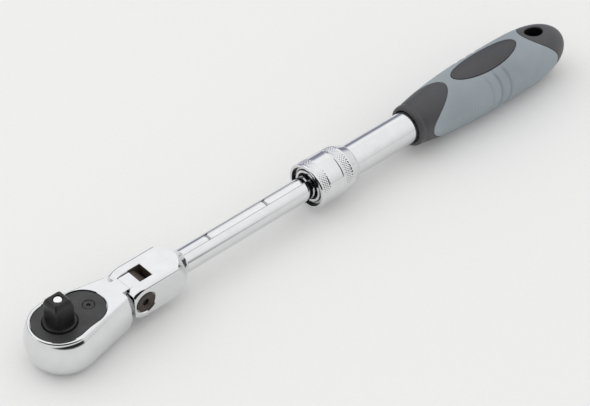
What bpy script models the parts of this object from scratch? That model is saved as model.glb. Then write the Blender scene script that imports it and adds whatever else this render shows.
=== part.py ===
"""Extendable flex-head ratchet wrench with a half-inch square drive.

Lengths are in millimetres in the tool's own frame until a mesh is made, which is in metres.
Tool frame: X runs along the bar from the drive axis (X = 0) towards the grip, Z = 0 is the
bar's centre line, and the square drive points up (+Z). The whole tool is then moved so that it
lies on z = 0, centred on the world origin.
"""
import math

import bmesh
import bpy
from mathutils import Matrix, Vector

# ---------------------------------------------------------------- driving dimensions (mm)
MM = 0.001
GAP = 0.3                    # clearance between pieces that touch

# ratchet head
HEAD_TOP = 10.3
HEAD_BOTTOM = -17.6
HEAD_FRONT = 21.4            # drive axis to the nose of the head
HEAD_R = 22.8                # round nose at its widest level, centred just behind the drive axis
SHOULDER_X = 40.2            # flat rear end of the head, in front of the yoke
SHOULDER_HALF_WIDTH = 14.6
PLATE_R = 16.75              # large lobe of the cover plate, on the drive axis
PLATE_LOBE_R = 14.4
PLATE_LOBE_X = 15.2
PLATE_WAIST = 0.4            # how far the sides draw in between the lobes
PLATE_TOP = 9.9
PLATE_BOTTOM = 7.2
PLATE_SCREW_R = 3.4

# drive
SQUARE = 12.7
DRIVE_TIP = 27.5
BOSS_R = 10.0
BOSS_TOP = 11.4
GEAR_TEETH = 72
GEAR_TIP_R = 12.6
GEAR_ROOT_R = 11.9
GEAR_TOP = 5.4
GEAR_BOTTOM = -4.5
JOURNAL_R = 9.6
JOURNAL_BOTTOM = -16.9
ROD_R = 2.8
BUTTON_R = 5.2
BUTTON_TOP = -12.5
BUTTON_BOTTOM = -18.8
DRIVE_BALL_R = 2.0

# pawl and reversing lever
PAWL_X = 20.3
PAWL_PIN_R = 1.8
PAWL_TILT = -4.0             # degrees at rest, so that the near tip is in mesh
PAWL_HALF_HEIGHT = 4.0
LEVER_X = 29.5
LEVER_TILT = 25.0            # degrees at rest
LEVER_SHAFT_R = 2.8
LEVER_DISC_R = 5.6
LEVER_TAB_R = 8.8
LEVER_BOTTOM = -19.2
LEVER_DISC_TOP = -16.8
PLUNGER_R = 1.1
PLUNGER_REACH = 4.6

# flex joint
PIVOT_X = 51.7
PIVOT_PIN_R = 3.0
PIVOT_HEAD_R = 6.6
TONGUE_HALF_WIDTH = 5.7
TONGUE_R = 10.1
TONGUE_TOP = 9.8
TONGUE_STEP_X = 45.6
YOKE_HALF_WIDTH = 12.9
YOKE_HALF_HEIGHT = 11.2
EAR_FRONT_X = 43.3           # flat front of the two ears
YOKE_SLOT_HALF_WIDTH = 6.1
YOKE_SLOT_END = 62.1
YOKE_EDGE_R = 2.2
YOKE_REAR_R = 16.6           # radius where the turned cone at the rear of the yoke starts
YOKE_CONE_START = 76.0
YOKE_CONE_END = 85.6
YOKE_FILLET_END = 89.4

# bar and tube
BAR_R = 7.65
BAR_END = 252.0
KEYWAY_START = 107.0
KEYWAY_HALF_WIDTH = 2.2
KEYWAY_FLOOR = 6.6
NOTCH_PITCH = 44.8
FIRST_NOTCH_X = 109.2
NOTCH_COUNT = 3
TUBE_R = 10.59
TUBE_START = 189.5
TUBE_END = 374.0
TUBE_NECK_R = 7.9
TUBE_BORE_R = 8.9
LOCK_BALL_R = 2.4

# locking collar
COLLAR_START = 187.0
COLLAR_END = 221.0
COLLAR_R = 15.2
COLLAR_REAR_R = 14.6
COLLAR_BORE_R = 12.6
STOP_RING_X = 204.6

# grip
GRIP_START = 272.0
GRIP_END = 412.0
GRIP_R = 19.4
OVERMOLD_DEPTH = 2.1
HANG_HOLE_X = 386.3
HANG_HOLE_HALF_LENGTH = 7.25
HANG_HOLE_HALF_WIDTH = 5.0
BADGE_X = 340.0
BADGE_HALF_LENGTH = 28.0
BADGE_HALF_WIDTH = 9.3
GRIP_SIDES = 40
ROUND_END_X = 399.0          # from here the tail rounds over to a point

FLOOR = -GRIP_R
MIDDLE_X = (GRIP_END - HEAD_FRONT) / 2

# ---------------------------------------------------------------- scene, bodies and materials


def clear_scene():
    for obj in list(bpy.data.objects):
        bpy.data.objects.remove(obj, do_unlink=True)


def material(name, colour, roughness, metallic):
    mat = bpy.data.materials.new(name)
    mat.use_nodes = True
    shader = mat.node_tree.nodes["Principled BSDF"]
    shader.inputs["Base Color"].default_value = (*colour, 1.0)
    shader.inputs["Roughness"].default_value = roughness
    shader.inputs["Metallic"].default_value = metallic
    mat.diffuse_color = (*colour, 1.0)
    return mat


def frame_empty(name, origin, parent=None, turn=0.0):
    """An empty on a joint's axis; origin is in the tool frame."""
    empty = bpy.data.objects.new(name, None)
    bpy.context.scene.collection.objects.link(empty)
    empty.empty_display_size = 0.01
    empty.parent = parent
    start = Vector(parent["origin"]) if parent else Vector((MIDDLE_X, 0, FLOOR))
    empty.location = (Vector(origin) - start) * MM
    empty.rotation_euler = (0, 0, math.radians(turn))
    empty["origin"] = list(origin)
    return empty


def finish_mesh(bm, name, body, mat, smooth=35.0):
    """Move a bmesh from the tool frame into its body's frame, in metres, and make the object."""
    bmesh.ops.remove_doubles(bm, verts=bm.verts, dist=1e-5)
    origin = Vector(body["origin"]) if body else Vector((0, 0, 0))
    bmesh.ops.transform(bm, matrix=Matrix.Scale(MM, 4) @ Matrix.Translation(-origin), verts=bm.verts)
    bmesh.ops.recalc_face_normals(bm, faces=bm.faces)
    mesh = bpy.data.meshes.new(name)
    bm.to_mesh(mesh)
    bm.free()
    mesh.shade_smooth()
    mesh.set_sharp_from_angle(angle=math.radians(smooth))
    obj = bpy.data.objects.new(name, mesh)
    bpy.context.scene.collection.objects.link(obj)
    obj.parent = body
    if mat:
        mesh.materials.append(mat)
    return obj


def boolean(obj, bm, body, operation="DIFFERENCE"):
    """Cut a bmesh out of obj, join it on or keep what is common; the tool stays as a hidden wire guide."""
    count = len(obj.modifiers) + 1
    tool = finish_mesh(bm, f"{obj.name}_tool_{count}", body, None)
    tool.hide_render = True
    tool.display_type = 'WIRE'
    mod = obj.modifiers.new(f"{operation.lower()}_{count}", 'BOOLEAN')
    mod.operation = operation
    mod.object = tool


# ---------------------------------------------------------------- shape helpers


def rings_mesh(rings, close=False):
    """Skin equal-length rings of points; the ends are capped unless the rings close on themselves."""
    bm = bmesh.new()
    rows = [[bm.verts.new(p) for p in ring] for ring in rings]
    size = len(rows[0])
    pairs = list(zip(rows, rows[1:]))
    if close:
        pairs.append((rows[-1], rows[0]))
    for low, high in pairs:
        for i in range(size):
            j = (i + 1) % size
            bm.faces.new((low[i], low[j], high[j], high[i]))
    if not close:
        bm.faces.new(rows[0][::-1])
        bm.faces.new(rows[-1])
    return bm


def orient(axis, along, a, b):
    """A point at distance along an axis, with a and b across it."""
    return {"X": (along, a, b), "Y": (b, along, a), "Z": (a, b, along)}[axis]


def turned(profile, axis="X", centre=(0.0, 0.0), sides=32, hollow=False):
    """Turn (distance along axis, radius) points; a hollow profile is a closed loop off the axis."""
    angles = [2 * math.pi * i / sides for i in range(sides)]
    rings = []
    for along, radius in profile:
        rings.append([orient(axis, along, centre[0] + radius * math.cos(a), centre[1] + radius * math.sin(a))
                      for a in angles])
    return rings_mesh(rings, close=hollow)


def rod(start, end, radius, axis="X", centre=(0.0, 0.0), sides=32):
    return turned([(start, radius), (end, radius)], axis, centre, sides)


def ring(start, end, inner, outer, axis="X", centre=(0.0, 0.0), sides=32):
    return turned([(start, inner), (start, outer), (end, outer), (end, inner)], axis, centre, sides, True)


def prism(outline, start, end, axis="Z"):
    """Extrude an outline of (a, b) points along an axis."""
    return rings_mesh([[orient(axis, along, a, b) for a, b in outline] for along in (start, end)])


def block(x0, x1, y0, y1, z0, z1):
    return prism([(x0, y0), (x1, y0), (x1, y1), (x0, y1)], z0, z1)


def arc(radius, start, end, count, centre=(0.0, 0.0)):
    """Points on an arc, angles in degrees, both ends included."""
    points = []
    for i in range(count):
        a = math.radians(start + (end - start) * i / (count - 1))
        points.append((centre[0] + radius * math.cos(a), centre[1] + radius * math.sin(a)))
    return points


def ball(radius, centre, segments=16):
    bm = bmesh.new()
    bmesh.ops.create_uvsphere(bm, u_segments=segments, v_segments=segments // 2, radius=radius)
    bmesh.ops.translate(bm, vec=centre, verts=bm.verts)
    return bm


def coil(start, end, mean_r, wire_r, turns, axis, centre=(0.0, 0.0), steps=12, sides=5):
    """A round-wire compression spring with its wire ends capped; its ends lie in start and end."""
    count = int(steps * turns)
    rings = []
    run = (end - start) - 2 * wire_r
    for i in range(count + 1):
        t = i / count
        a = 2 * math.pi * turns * t
        along = start + wire_r + run * t
        wire = []
        for k in range(sides):
            b = 2 * math.pi * k / sides
            r = mean_r + wire_r * math.cos(b)
            wire.append(orient(axis, along + wire_r * math.sin(b),
                               centre[0] + r * math.cos(a), centre[1] + r * math.sin(a)))
        rings.append(wire)
    return rings_mesh(rings)


def rounded_box(half_width, half_height, corner, per_corner=5):
    """A rounded rectangle centred on the axis."""
    points = []
    for sx, sy, start in ((1, 1, 0), (-1, 1, 90), (-1, -1, 180), (1, -1, 270)):
        centre = (sx * (half_width - corner), sy * (half_height - corner))
        points += arc(corner, start, start + 90, per_corner, centre)
    return points


# ---------------------------------------------------------------- ratchet head


def mix(a, b, t):
    return a + (b - a) * t


def head_outline(radius, centre, shoulder, shoulder_x, nose_steps=15, side_steps=3):
    """Plan outline of the head: a round nose, then straight sides that run in to the shoulder."""
    span = shoulder_x - centre
    turn = math.atan2(shoulder, span) + math.acos(radius / math.hypot(span, shoulder))
    touch = (centre + radius * math.cos(turn), radius * math.sin(turn))
    side = []
    for i in range(side_steps):
        side.append((mix(shoulder_x, touch[0], i / side_steps), mix(shoulder, touch[1], i / side_steps)))
    for i in range(nose_steps + 1):
        a = mix(turn, math.pi, i / nose_steps)
        side.append((centre + radius * math.cos(a), radius * math.sin(a)))
    mirrored = [(x, -y) for x, y in side[-2::-1]]
    return side + mirrored


def head_shell():
    """Skin plan outlines from the flat bottom, up the barrel side and over the top edge."""
    widest = (HEAD_R, HEAD_R - HEAD_FRONT, SHOULDER_HALF_WIDTH, SHOULDER_X)
    base = (13.3, 1.0, 6.8, SHOULDER_X - 7.0)
    rim = (HEAD_R - 3.3, 0.6, SHOULDER_HALF_WIDTH - 3.0, SHOULDER_X)
    top = (HEAD_R - 4.3, 0.2, SHOULDER_HALF_WIDTH - 4.1, SHOULDER_X)
    waist = -3.0
    rim_z = HEAD_TOP - 1.4
    levels = []
    for step in range(9):
        t = math.radians(90 - 90 * step / 8)
        share = 1 - math.cos(t)
        levels.append((waist + (HEAD_BOTTOM - waist) * math.sin(t),
                       [mix(w, b, share) for w, b in zip(widest, base)]))
    for step in range(1, 6):
        t = step / 5
        levels.append((mix(waist, rim_z, t), [mix(w, r, t ** 1.5) for w, r in zip(widest, rim)]))
    for step in range(1, 4):
        t = math.radians(90 * step / 3)
        levels.append((mix(rim_z, HEAD_TOP, math.sin(t)), [mix(u, r, math.cos(t)) for u, r in zip(top, rim)]))
    rings = []
    for z, sizes in levels:
        rings.append([(x, y, z) for x, y in head_outline(*sizes)])
    return rings_mesh(rings)


def tongue():
    """The neck between the yoke's ears, flat on top and with a round end about the pivot."""
    corner = math.degrees(math.asin(TONGUE_TOP / TONGUE_R))
    outline = [(33.0, HEAD_TOP), (33.0, -TONGUE_TOP)]
    outline += arc(TONGUE_R, -corner, corner, 19, (PIVOT_X, 0.0))
    outline += [(TONGUE_STEP_X, TONGUE_TOP), (TONGUE_STEP_X - GAP, HEAD_TOP)]
    swapped = [(z, x) for x, z in outline]
    return prism(swapped, -TONGUE_HALF_WIDTH, TONGUE_HALF_WIDTH, "Y")


def plate_outline(offset=0.0, count=22):
    """Two circles joined by almost straight sides, the plate's pear shape."""
    r1 = PLATE_R + offset
    r2 = PLATE_LOBE_R + offset
    turn = math.degrees(math.acos((r1 - r2) / PLATE_LOBE_X))
    big = arc(r1, turn, 360 - turn, count)
    small = arc(r2, -turn, turn, count, (PLATE_LOBE_X, 0.0))
    waist_x = (big[0][0] + small[-1][0]) / 2
    waist_y = (big[0][1] + small[-1][1]) / 2 - PLATE_WAIST
    return big + [(waist_x, -waist_y)] + small + [(waist_x, waist_y)]


def make_head(body, mats):
    head = finish_mesh(head_shell(), "head_body", body, mats["chrome"])
    boolean(head, tongue(), body, "UNION")
    seat = PLATE_BOTTOM - GAP
    boolean(head, prism(plate_outline(GAP), seat, HEAD_TOP + 3), body)
    boolean(head, rod(GEAR_BOTTOM - GAP, seat + 1, GEAR_TIP_R + 0.45, "Z", sides=48), body)
    boolean(head, rod(-PAWL_HALF_HEIGHT - GAP, seat + 0.7, 12.6, "Z", (PLATE_LOBE_X, 0), 40), body)
    boolean(head, rod(HEAD_BOTTOM - 2, GEAR_BOTTOM + 1, JOURNAL_R + 0.25, "Z", sides=40), body)
    boolean(head, rod(HEAD_BOTTOM - 2, 3.4, LEVER_SHAFT_R + GAP, "Z", (LEVER_X, 0), 24), body)
    boolean(head, rod(HEAD_BOTTOM - 2, LEVER_DISC_TOP + GAP, LEVER_DISC_R + 0.4, "Z", (LEVER_X, 0), 32), body)
    boolean(head, block(24.6, LEVER_X, -3.9, 3.9, -2.6, 3.1), body)
    boolean(head, rod(-9.0, -1.0, PAWL_PIN_R + 0.15, "Z", (PAWL_X, 0), 20), body)
    boolean(head, rod(-20, 20, PIVOT_PIN_R + 0.25, "Y", (0, PIVOT_X), 28), body)

    plate = finish_mesh(prism(plate_outline(), PLATE_BOTTOM, PLATE_TOP), "cover_plate", body, mats["oxide"])
    boolean(plate, rod(0, 20, BOSS_R + 0.35, "Z", sides=40), body)
    boolean(plate, rod(8.2, 20, PLATE_SCREW_R + GAP, "Z", (PAWL_X, 0), 28), body)
    boolean(plate, rod(0, 20, 1.6, "Z", (PAWL_X, 0), 20), body)

    screw_shape = [(3.6, 1.2), (8.3, 1.2), (8.3, PLATE_SCREW_R), (9.6, PLATE_SCREW_R), (9.8, PLATE_SCREW_R - 0.25)]
    screw = finish_mesh(turned(screw_shape, "Z", (PAWL_X, 0), 28), "plate_screw", body, mats["oxide"])
    hexagon = [(PAWL_X + 1.3 * math.cos(k * math.pi / 3), 1.3 * math.sin(k * math.pi / 3)) for k in range(6)]
    boolean(screw, prism(hexagon, 8.6, 11), body)

    pin = finish_mesh(rod(-8.7, 6.6, PAWL_PIN_R, "Z", (PAWL_X, 0), 20), "pawl_pin", body, mats["steel"])
    boolean(pin, rod(3.2, 8, 1.35, "Z", (PAWL_X, 0), 16), body)
    finish_mesh(ring(GEAR_TOP + 0.2, seat - 0.25, BOSS_R + 0.3, GEAR_TIP_R + 0.1, "Z", sides=40),
                "thrust_washer", body, mats["steel"])


# ---------------------------------------------------------------- drive and release


def gear_outline():
    """Straight-flanked ratchet teeth; a gap is centred on +X."""
    pitch = 360 / GEAR_TEETH
    points = []
    for tooth in range(GEAR_TEETH):
        for radius, offset in ((GEAR_ROOT_R, -0.6), (GEAR_ROOT_R, 0.6), (GEAR_TIP_R, 2.0), (GEAR_TIP_R, 3.0)):
            a = math.radians(tooth * pitch + offset)
            points.append((radius * math.cos(a), radius * math.sin(a)))
    return points


def square_drive():
    """The square with rounded corners, which a turned cone cuts back towards the tip."""
    levels = ((BOSS_TOP - 1.0, 9.0, 0.0), (DRIVE_TIP - 4.4, 9.0, 0.0), (DRIVE_TIP - 3.2, 8.3, 0.0),
              (DRIVE_TIP - 1.4, 7.4, 0.0), (DRIVE_TIP - 0.5, 6.8, 0.1), (DRIVE_TIP, 6.0, 0.7))
    rings = []
    for z, reach, inset in levels:
        half = SQUARE / 2 - inset
        ring = []
        for x, y in rounded_box(half, half, 1.0, 5):
            shrink = min(1.0, reach / math.hypot(x, y))
            ring.append((x * shrink, y * shrink, z))
        rings.append(ring)
    return rings_mesh(rings)


def make_drive(body, mats):
    gear = finish_mesh(prism(gear_outline(), GEAR_BOTTOM, GEAR_TOP), "drive_gear", body, mats["oxide"], 25.0)
    core = [(JOURNAL_BOTTOM, JOURNAL_R - 0.5), (JOURNAL_BOTTOM + 0.5, JOURNAL_R), (0.0, JOURNAL_R),
            (0.0, BOSS_R), (BOSS_TOP - 0.6, BOSS_R), (BOSS_TOP, BOSS_R - 0.6)]
    boolean(gear, turned(core, "Z", sides=48), body, "UNION")
    boolean(gear, square_drive(), body, "UNION")
    bore = [(JOURNAL_BOTTOM - 2, BUTTON_R + 0.4), (-6.0, BUTTON_R + 0.4), (-6.0, ROD_R + 0.25),
            (DRIVE_TIP + 2, ROD_R + 0.25)]
    boolean(gear, turned(bore, "Z", sides=32), body)
    boolean(gear, rod(0.5, 9.0, DRIVE_BALL_R + 0.15, "Y", (19.5, 0), 24), body)
    finish_mesh(ball(DRIVE_BALL_R, (0, SQUARE / 2 - 1.1, 19.5)), "detent_ball", body, mats["steel"])


def make_release(body, mats):
    rod_shape = [(-16.0, 1.5), (-12.0, 1.5), (-12.0, ROD_R), (DRIVE_TIP - 0.6, ROD_R),
                 (DRIVE_TIP - 0.25, ROD_R - 0.3), (DRIVE_TIP - 0.1, 1.2)]
    finish_mesh(turned(rod_shape, "Z", sides=24), "release_rod", body, mats["steel"])
    button_shape = [(BUTTON_BOTTOM, 3.9), (BUTTON_BOTTOM + 0.5, BUTTON_R - 0.3), (BUTTON_BOTTOM + 1.0, BUTTON_R),
                    (BUTTON_TOP, BUTTON_R)]
    button = finish_mesh(turned(button_shape, "Z", sides=32), "release_button", body, mats["chrome"])
    boolean(button, rod(-16.3, -10, 1.7, "Z", sides=20), body)
    finish_mesh(coil(BUTTON_TOP + 0.2, -6.3, 3.75, 0.5, 4, "Z"), "release_spring", body, mats["spring"])


# ---------------------------------------------------------------- pawl and lever


def pawl_outline():
    """Rocking pawl seen from above, symmetric about X, in the tool frame with no tilt.

    The near tip is laid out in mesh with the gear, then turned back about the pivot.
    """
    back = math.radians(-PAWL_TILT)

    def untilt(point):
        x = point[0] - PAWL_X
        y = point[1]
        return (PAWL_X + x * math.cos(back) - y * math.sin(back), x * math.sin(back) + y * math.cos(back))

    def polar(radius, degrees):
        a = math.radians(degrees)
        return (radius * math.cos(a), radius * math.sin(a))

    face = GEAR_TIP_R + 0.15
    tip = GEAR_ROOT_R + 0.18
    near = [polar(15.0, -43.5), polar(face, -43.5)]
    for tooth in (-40, -35, -30):
        near += [polar(face, tooth - 1.45), polar(tip, tooth - 0.35), polar(tip, tooth + 0.35),
                 polar(face, tooth + 1.45)]
    near += [polar(face, -27.3), polar(14.2, -26.0)]
    near = [untilt(p) for p in near]
    hollow_face = [polar(14.2, -20 + 20 * i / 5) for i in range(6)]
    back_arc = arc(4.95, 180, 180 + 38, 6, (LEVER_X, 0.0))
    lower_side = back_arc + [(25.7, -4.2), (PAWL_X, -9.0)]
    half = lower_side + near + hollow_face
    mirrored = [(x, -y) for x, y in half[-2:0:-1]]
    return half + mirrored


def make_pawl(body, mats):
    height = PAWL_HALF_HEIGHT
    pawl = finish_mesh(prism(pawl_outline(), -height, height), "pawl", body, mats["steel"], 25.0)
    boolean(pawl, rod(-10, 10, PAWL_PIN_R + 0.15, "Z", (PAWL_X, 0), 24), body)


def make_lever(body, mats):
    shaft = [(LEVER_BOTTOM, LEVER_DISC_R - 0.6), (LEVER_BOTTOM + 0.6, LEVER_DISC_R), (LEVER_DISC_TOP, LEVER_DISC_R),
             (LEVER_DISC_TOP, LEVER_SHAFT_R), (3.0, LEVER_SHAFT_R)]
    lever = finish_mesh(turned(shaft, "Z", (LEVER_X, 0), 32), "reverse_lever", body, mats["chrome"])
    tab = [(LEVER_X, -4.6)] + arc(2.6, -80, 80, 8, (LEVER_X + LEVER_TAB_R - 2.6, 0.0)) + [(LEVER_X, 4.6)]
    boolean(lever, prism(tab, LEVER_BOTTOM + 0.15, HEAD_BOTTOM - 0.35), body, "UNION")
    boolean(lever, rod(LEVER_X - 5, LEVER_X + 1.8, PLUNGER_R + 0.15, "X", (0, 0.2), 16), body)
    nose = LEVER_X - PLUNGER_REACH
    plunger = [(nose, 0.35), (nose + 0.25, 0.8), (nose + 0.8, PLUNGER_R), (nose + 3.2, PLUNGER_R)]
    finish_mesh(turned(plunger, "X", (0, 0.2), 16), "pawl_plunger", body, mats["steel"])
    finish_mesh(coil(nose + 3.35, LEVER_X + 1.6, 0.8, 0.18, 4, "X", (0, 0.2), 8, 4), "plunger_spring", body,
                mats["spring"])


# ---------------------------------------------------------------- yoke and extension bar


def yoke():
    """Rounded bar stock whose front, the two ears, is round about the pivot but for a flat nose."""
    nose_top = math.sqrt(YOKE_HALF_HEIGHT ** 2 - (PIVOT_X - EAR_FRONT_X - 0.9) ** 2)
    stations = [(EAR_FRONT_X, YOKE_HALF_WIDTH - 1.5, nose_top - 2.4),
                (EAR_FRONT_X + 0.25, YOKE_HALF_WIDTH - 0.7, nose_top - 1.1),
                (EAR_FRONT_X + 0.9, YOKE_HALF_WIDTH - 0.2, nose_top)]
    start = math.degrees(math.asin(nose_top / YOKE_HALF_HEIGHT))
    for i in range(1, 7):
        a = math.radians(mix(start, 90, i / 6))
        stations.append((PIVOT_X - YOKE_HALF_HEIGHT * math.cos(a), YOKE_HALF_WIDTH,
                         YOKE_HALF_HEIGHT * math.sin(a)))
    stations.append((YOKE_FILLET_END - 1.0, YOKE_HALF_WIDTH, YOKE_HALF_HEIGHT))
    rings = []
    for x, half_width, half_height in stations:
        rings.append([(x, y, z) for y, z in rounded_box(half_width, half_height, YOKE_EDGE_R)])
    return rings_mesh(rings)


def yoke_envelope():
    """What the lathe leaves of the yoke: a cone at the rear that runs into the bar in a fillet."""
    fillet_rise = 1.5
    crown = 0.3
    profile = [(30.0, YOKE_REAR_R + 0.6), (YOKE_CONE_START, YOKE_REAR_R)]
    for i in range(1, 6):
        t = i / 5
        radius = mix(YOKE_REAR_R, BAR_R + fillet_rise, t) + crown * math.sin(math.pi * t)
        profile.append((mix(YOKE_CONE_START, YOKE_CONE_END, t), radius))
    for i in range(1, 5):
        t = math.sin(math.radians(90 * i / 4))
        radius = mix(BAR_R - 0.6, BAR_R + fillet_rise, (1 - t) ** 1.3)
        profile.append((mix(YOKE_CONE_END, YOKE_FILLET_END, t), radius))
    return turned(profile, "X", sides=48)


def bar_profile():
    """The bar, with a spigot for the rear bush."""
    spigot = BAR_END - 12
    return [(80.0, BAR_R), (spigot, BAR_R), (spigot, 5.5), (BAR_END - 2.6, 5.5), (BAR_END - 2.6, 4.8),
            (BAR_END - 1.2, 4.8), (BAR_END - 1.2, 5.5), (BAR_END, 5.0)]


def make_bar(body, mats):
    bar = finish_mesh(yoke(), "extension_bar", body, mats["chrome"])
    boolean(bar, yoke_envelope(), body, "INTERSECT")
    boolean(bar, turned(bar_profile(), "X", sides=40), body, "UNION")
    half = YOKE_SLOT_HALF_WIDTH
    boolean(bar, block(30, YOKE_SLOT_END, -half, half, -20, 20), body)
    boolean(bar, rod(-20, 20, PIVOT_PIN_R + 0.15, "Y", (0, PIVOT_X), 28), body)
    recess = YOKE_HALF_WIDTH - 2.5
    boolean(bar, rod(-20, -recess, PIVOT_HEAD_R + GAP, "Y", (0, PIVOT_X), 36), body)
    boolean(bar, rod(recess, 20, PIVOT_HEAD_R + GAP, "Y", (0, PIVOT_X), 36), body)
    boolean(bar, rod(YOKE_SLOT_END - 1, 76, 2.2, "X", (0, 0), 20), body)
    width = KEYWAY_HALF_WIDTH
    boolean(bar, block(KEYWAY_START, BAR_END + 5, -width, width, KEYWAY_FLOOR, 12), body)
    for k in range(NOTCH_COUNT):
        x = FIRST_NOTCH_X + k * NOTCH_PITCH
        boolean(bar, rod(-3.3, 3.3, 2.1, "Y", (8.1, x), 20), body)

    head_y = -YOKE_HALF_WIDTH
    screw_shape = [(head_y, PIVOT_HEAD_R - 0.4), (head_y + 0.35, PIVOT_HEAD_R), (-recess - GAP, PIVOT_HEAD_R),
                   (-recess - GAP, PIVOT_PIN_R), (11.4, PIVOT_PIN_R)]
    screw = finish_mesh(turned(screw_shape, "Y", (0, PIVOT_X), 36), "pivot_screw", body, mats["oxide"])
    hexagon = [(2.3 * math.sin(k * math.pi / 3), PIVOT_X + 2.3 * math.cos(k * math.pi / 3)) for k in range(6)]
    boolean(screw, prism(hexagon, -20, head_y + 1.7, "Y"), body)
    nut_shape = [(recess + GAP, PIVOT_HEAD_R), (YOKE_HALF_WIDTH - 0.35, PIVOT_HEAD_R),
                 (YOKE_HALF_WIDTH, PIVOT_HEAD_R - 0.4)]
    nut = finish_mesh(turned(nut_shape, "Y", (0, PIVOT_X), 36), "pivot_nut", body, mats["oxide"])
    boolean(nut, rod(0, 11.6, PIVOT_PIN_R + 0.15, "Y", (0, PIVOT_X), 28), body)
    for side in (-1, 1):
        boolean(nut, rod(11.7, 20, 0.8, "Y", (0, PIVOT_X + side * 4.6), 12), body)

    finish_mesh(ball(1.95, (YOKE_SLOT_END + 2.0, 0, 0), 16), "flex_detent_ball", body, mats["steel"])
    finish_mesh(coil(65.8, 75.7, 1.5, 0.35, 5, "X", steps=8), "flex_detent_spring", body, mats["spring"])
    finish_mesh(ring(BAR_END - 11.7, BAR_END - 2.9, 5.6, TUBE_BORE_R - 0.15, sides=36), "rear_bush", body,
                mats["bronze"])
    finish_mesh(ring(BAR_END - 2.4, BAR_END - 1.4, 4.95, 7.4, sides=32), "bush_clip", body, mats["spring"])


# ---------------------------------------------------------------- tube and locking collar


def make_tube(body, mats):
    neck_end = 202.0
    groove = (STOP_RING_X - 0.15, STOP_RING_X + 1.35)
    profile = [(TUBE_START, TUBE_NECK_R + 0.3), (TUBE_START, TUBE_R - 0.5), (TUBE_START + 0.5, TUBE_R),
               (groove[0], TUBE_R), (groove[0], 9.9), (groove[1], 9.9), (groove[1], TUBE_R), (TUBE_END, TUBE_R),
               (TUBE_END, TUBE_BORE_R), (neck_end, TUBE_BORE_R), (neck_end, TUBE_NECK_R),
               (TUBE_START + 0.3, TUBE_NECK_R)]
    tube = finish_mesh(turned(profile, "X", sides=40, hollow=True), "outer_tube", body, mats["chrome"])
    ball_x = FIRST_NOTCH_X + (NOTCH_COUNT - 1) * NOTCH_PITCH
    boolean(tube, rod(5.0, 14.0, LOCK_BALL_R + 0.15, "Z", (ball_x, 0), 24), body)
    finish_mesh(ring(neck_end + GAP, BAR_END - 12.1, BAR_R + 0.2, TUBE_BORE_R - 0.1, sides=36), "guide_sleeve", body,
                mats["bronze"])
    finish_mesh(ring(STOP_RING_X, STOP_RING_X + 1.2, 10.0, 12.3, sides=36), "spring_stop_ring", body, mats["spring"])
    ball_z = KEYWAY_FLOOR + 0.15 + LOCK_BALL_R
    finish_mesh(ball(LOCK_BALL_R, (ball_x, 0, ball_z)), "lock_ball", body, mats["steel"])
    plug_r = TUBE_BORE_R - 0.15
    plug = [(TUBE_END - 6, plug_r - 0.45), (TUBE_END - 5.5, plug_r), (TUBE_END - 0.3, plug_r)]
    finish_mesh(turned(plug, "X", sides=28), "tube_end_plug", body, mats["black_plastic"])


def make_collar(body, mats):
    groove_x = 205.6
    front = COLLAR_START
    chamber_end = 218.0
    profile = [(front + 1.2, COLLAR_BORE_R), (front, 13.3), (front, 14.7), (front + 0.5, COLLAR_R),
               (groove_x - 0.5, COLLAR_R),
               (groove_x - 0.2, COLLAR_R - 0.6), (groove_x + 0.4, COLLAR_R - 0.6), (groove_x + 0.7, COLLAR_R - 0.2),
               (216.3, COLLAR_REAR_R), (COLLAR_END - 0.6, 12.2), (COLLAR_END, 11.6), (COLLAR_END, TUBE_R + 0.25),
               (chamber_end, TUBE_R + 0.25), (chamber_end, COLLAR_BORE_R)]
    finish_mesh(turned(profile, "X", sides=44, hollow=True), "lock_collar", body, mats["chrome"])
    sleeve_r = COLLAR_BORE_R - 0.2
    rib_start = front + 6.6
    sleeve_end = STOP_RING_X - GAP
    sleeve = [(front + 2.1, 11.3), (front + 2.1, sleeve_r), (sleeve_end, sleeve_r), (sleeve_end, 11.75),
              (196.2, 11.75), (195.2, TUBE_R + 0.22), (rib_start, TUBE_R + 0.22), (rib_start, 11.3)]
    finish_mesh(turned(sleeve, "X", sides=36, hollow=True), "cam_sleeve", body, mats["steel"])
    half_gap = 13
    gap_at = 140
    start = front + 1.0
    outline = arc(11.0, gap_at + half_gap, gap_at + 360 - half_gap, 40)
    outline += arc(7.95, gap_at + 360 - half_gap, gap_at + half_gap, 40)
    finish_mesh(prism(outline, start, start + 1.2, "X"), "retaining_ring", body, mats["spring"])
    finish_mesh(coil(STOP_RING_X + 1.5, chamber_end - 0.3, 11.6, 0.7, 3.5, "X", steps=16), "collar_spring", body,
                mats["spring"])


# ---------------------------------------------------------------- grip


def grip_radius(x):
    """Barrel-shaped grip: quick swell behind the nose, widest at two thirds, round end."""
    widest = 352.0
    if x < widest:
        t = (widest - x) / (widest - GRIP_START)
        return GRIP_R - 6.6 * t ** 2.6
    t = (x - widest) / (GRIP_END - widest)
    return GRIP_R * (1 - t ** 3.4) ** 0.5


def nose_edge(angle):
    """Where the black nose ends, for an angle measured from the top."""
    return 282.0 + 22.5 * abs(math.cos(angle)) ** 2.2


def tail_edge(angle):
    """Where the black tail starts, for an angle measured from the top; it clears the hang hole below."""
    across = math.cos(angle)
    return 395.0 - 19.6 * (across ** 2 if across > 0 else across ** 6)


def grip_ring(position, depth, sides=GRIP_SIDES):
    """A ring of points on the grip; position gives x for an angle, depth is below the surface."""
    points = []
    for i in range(sides):
        angle = 2 * math.pi * i / sides
        x = position(angle)
        r = grip_radius(x) - depth
        points.append((x, r * math.sin(angle), r * math.cos(angle)))
    return points


def between(start, end, t):
    return lambda angle: mix(start(angle), end(angle), t)


def fixed(x):
    return lambda angle: x


def shifted(edge, amount):
    return lambda angle: edge(angle) + amount


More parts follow.
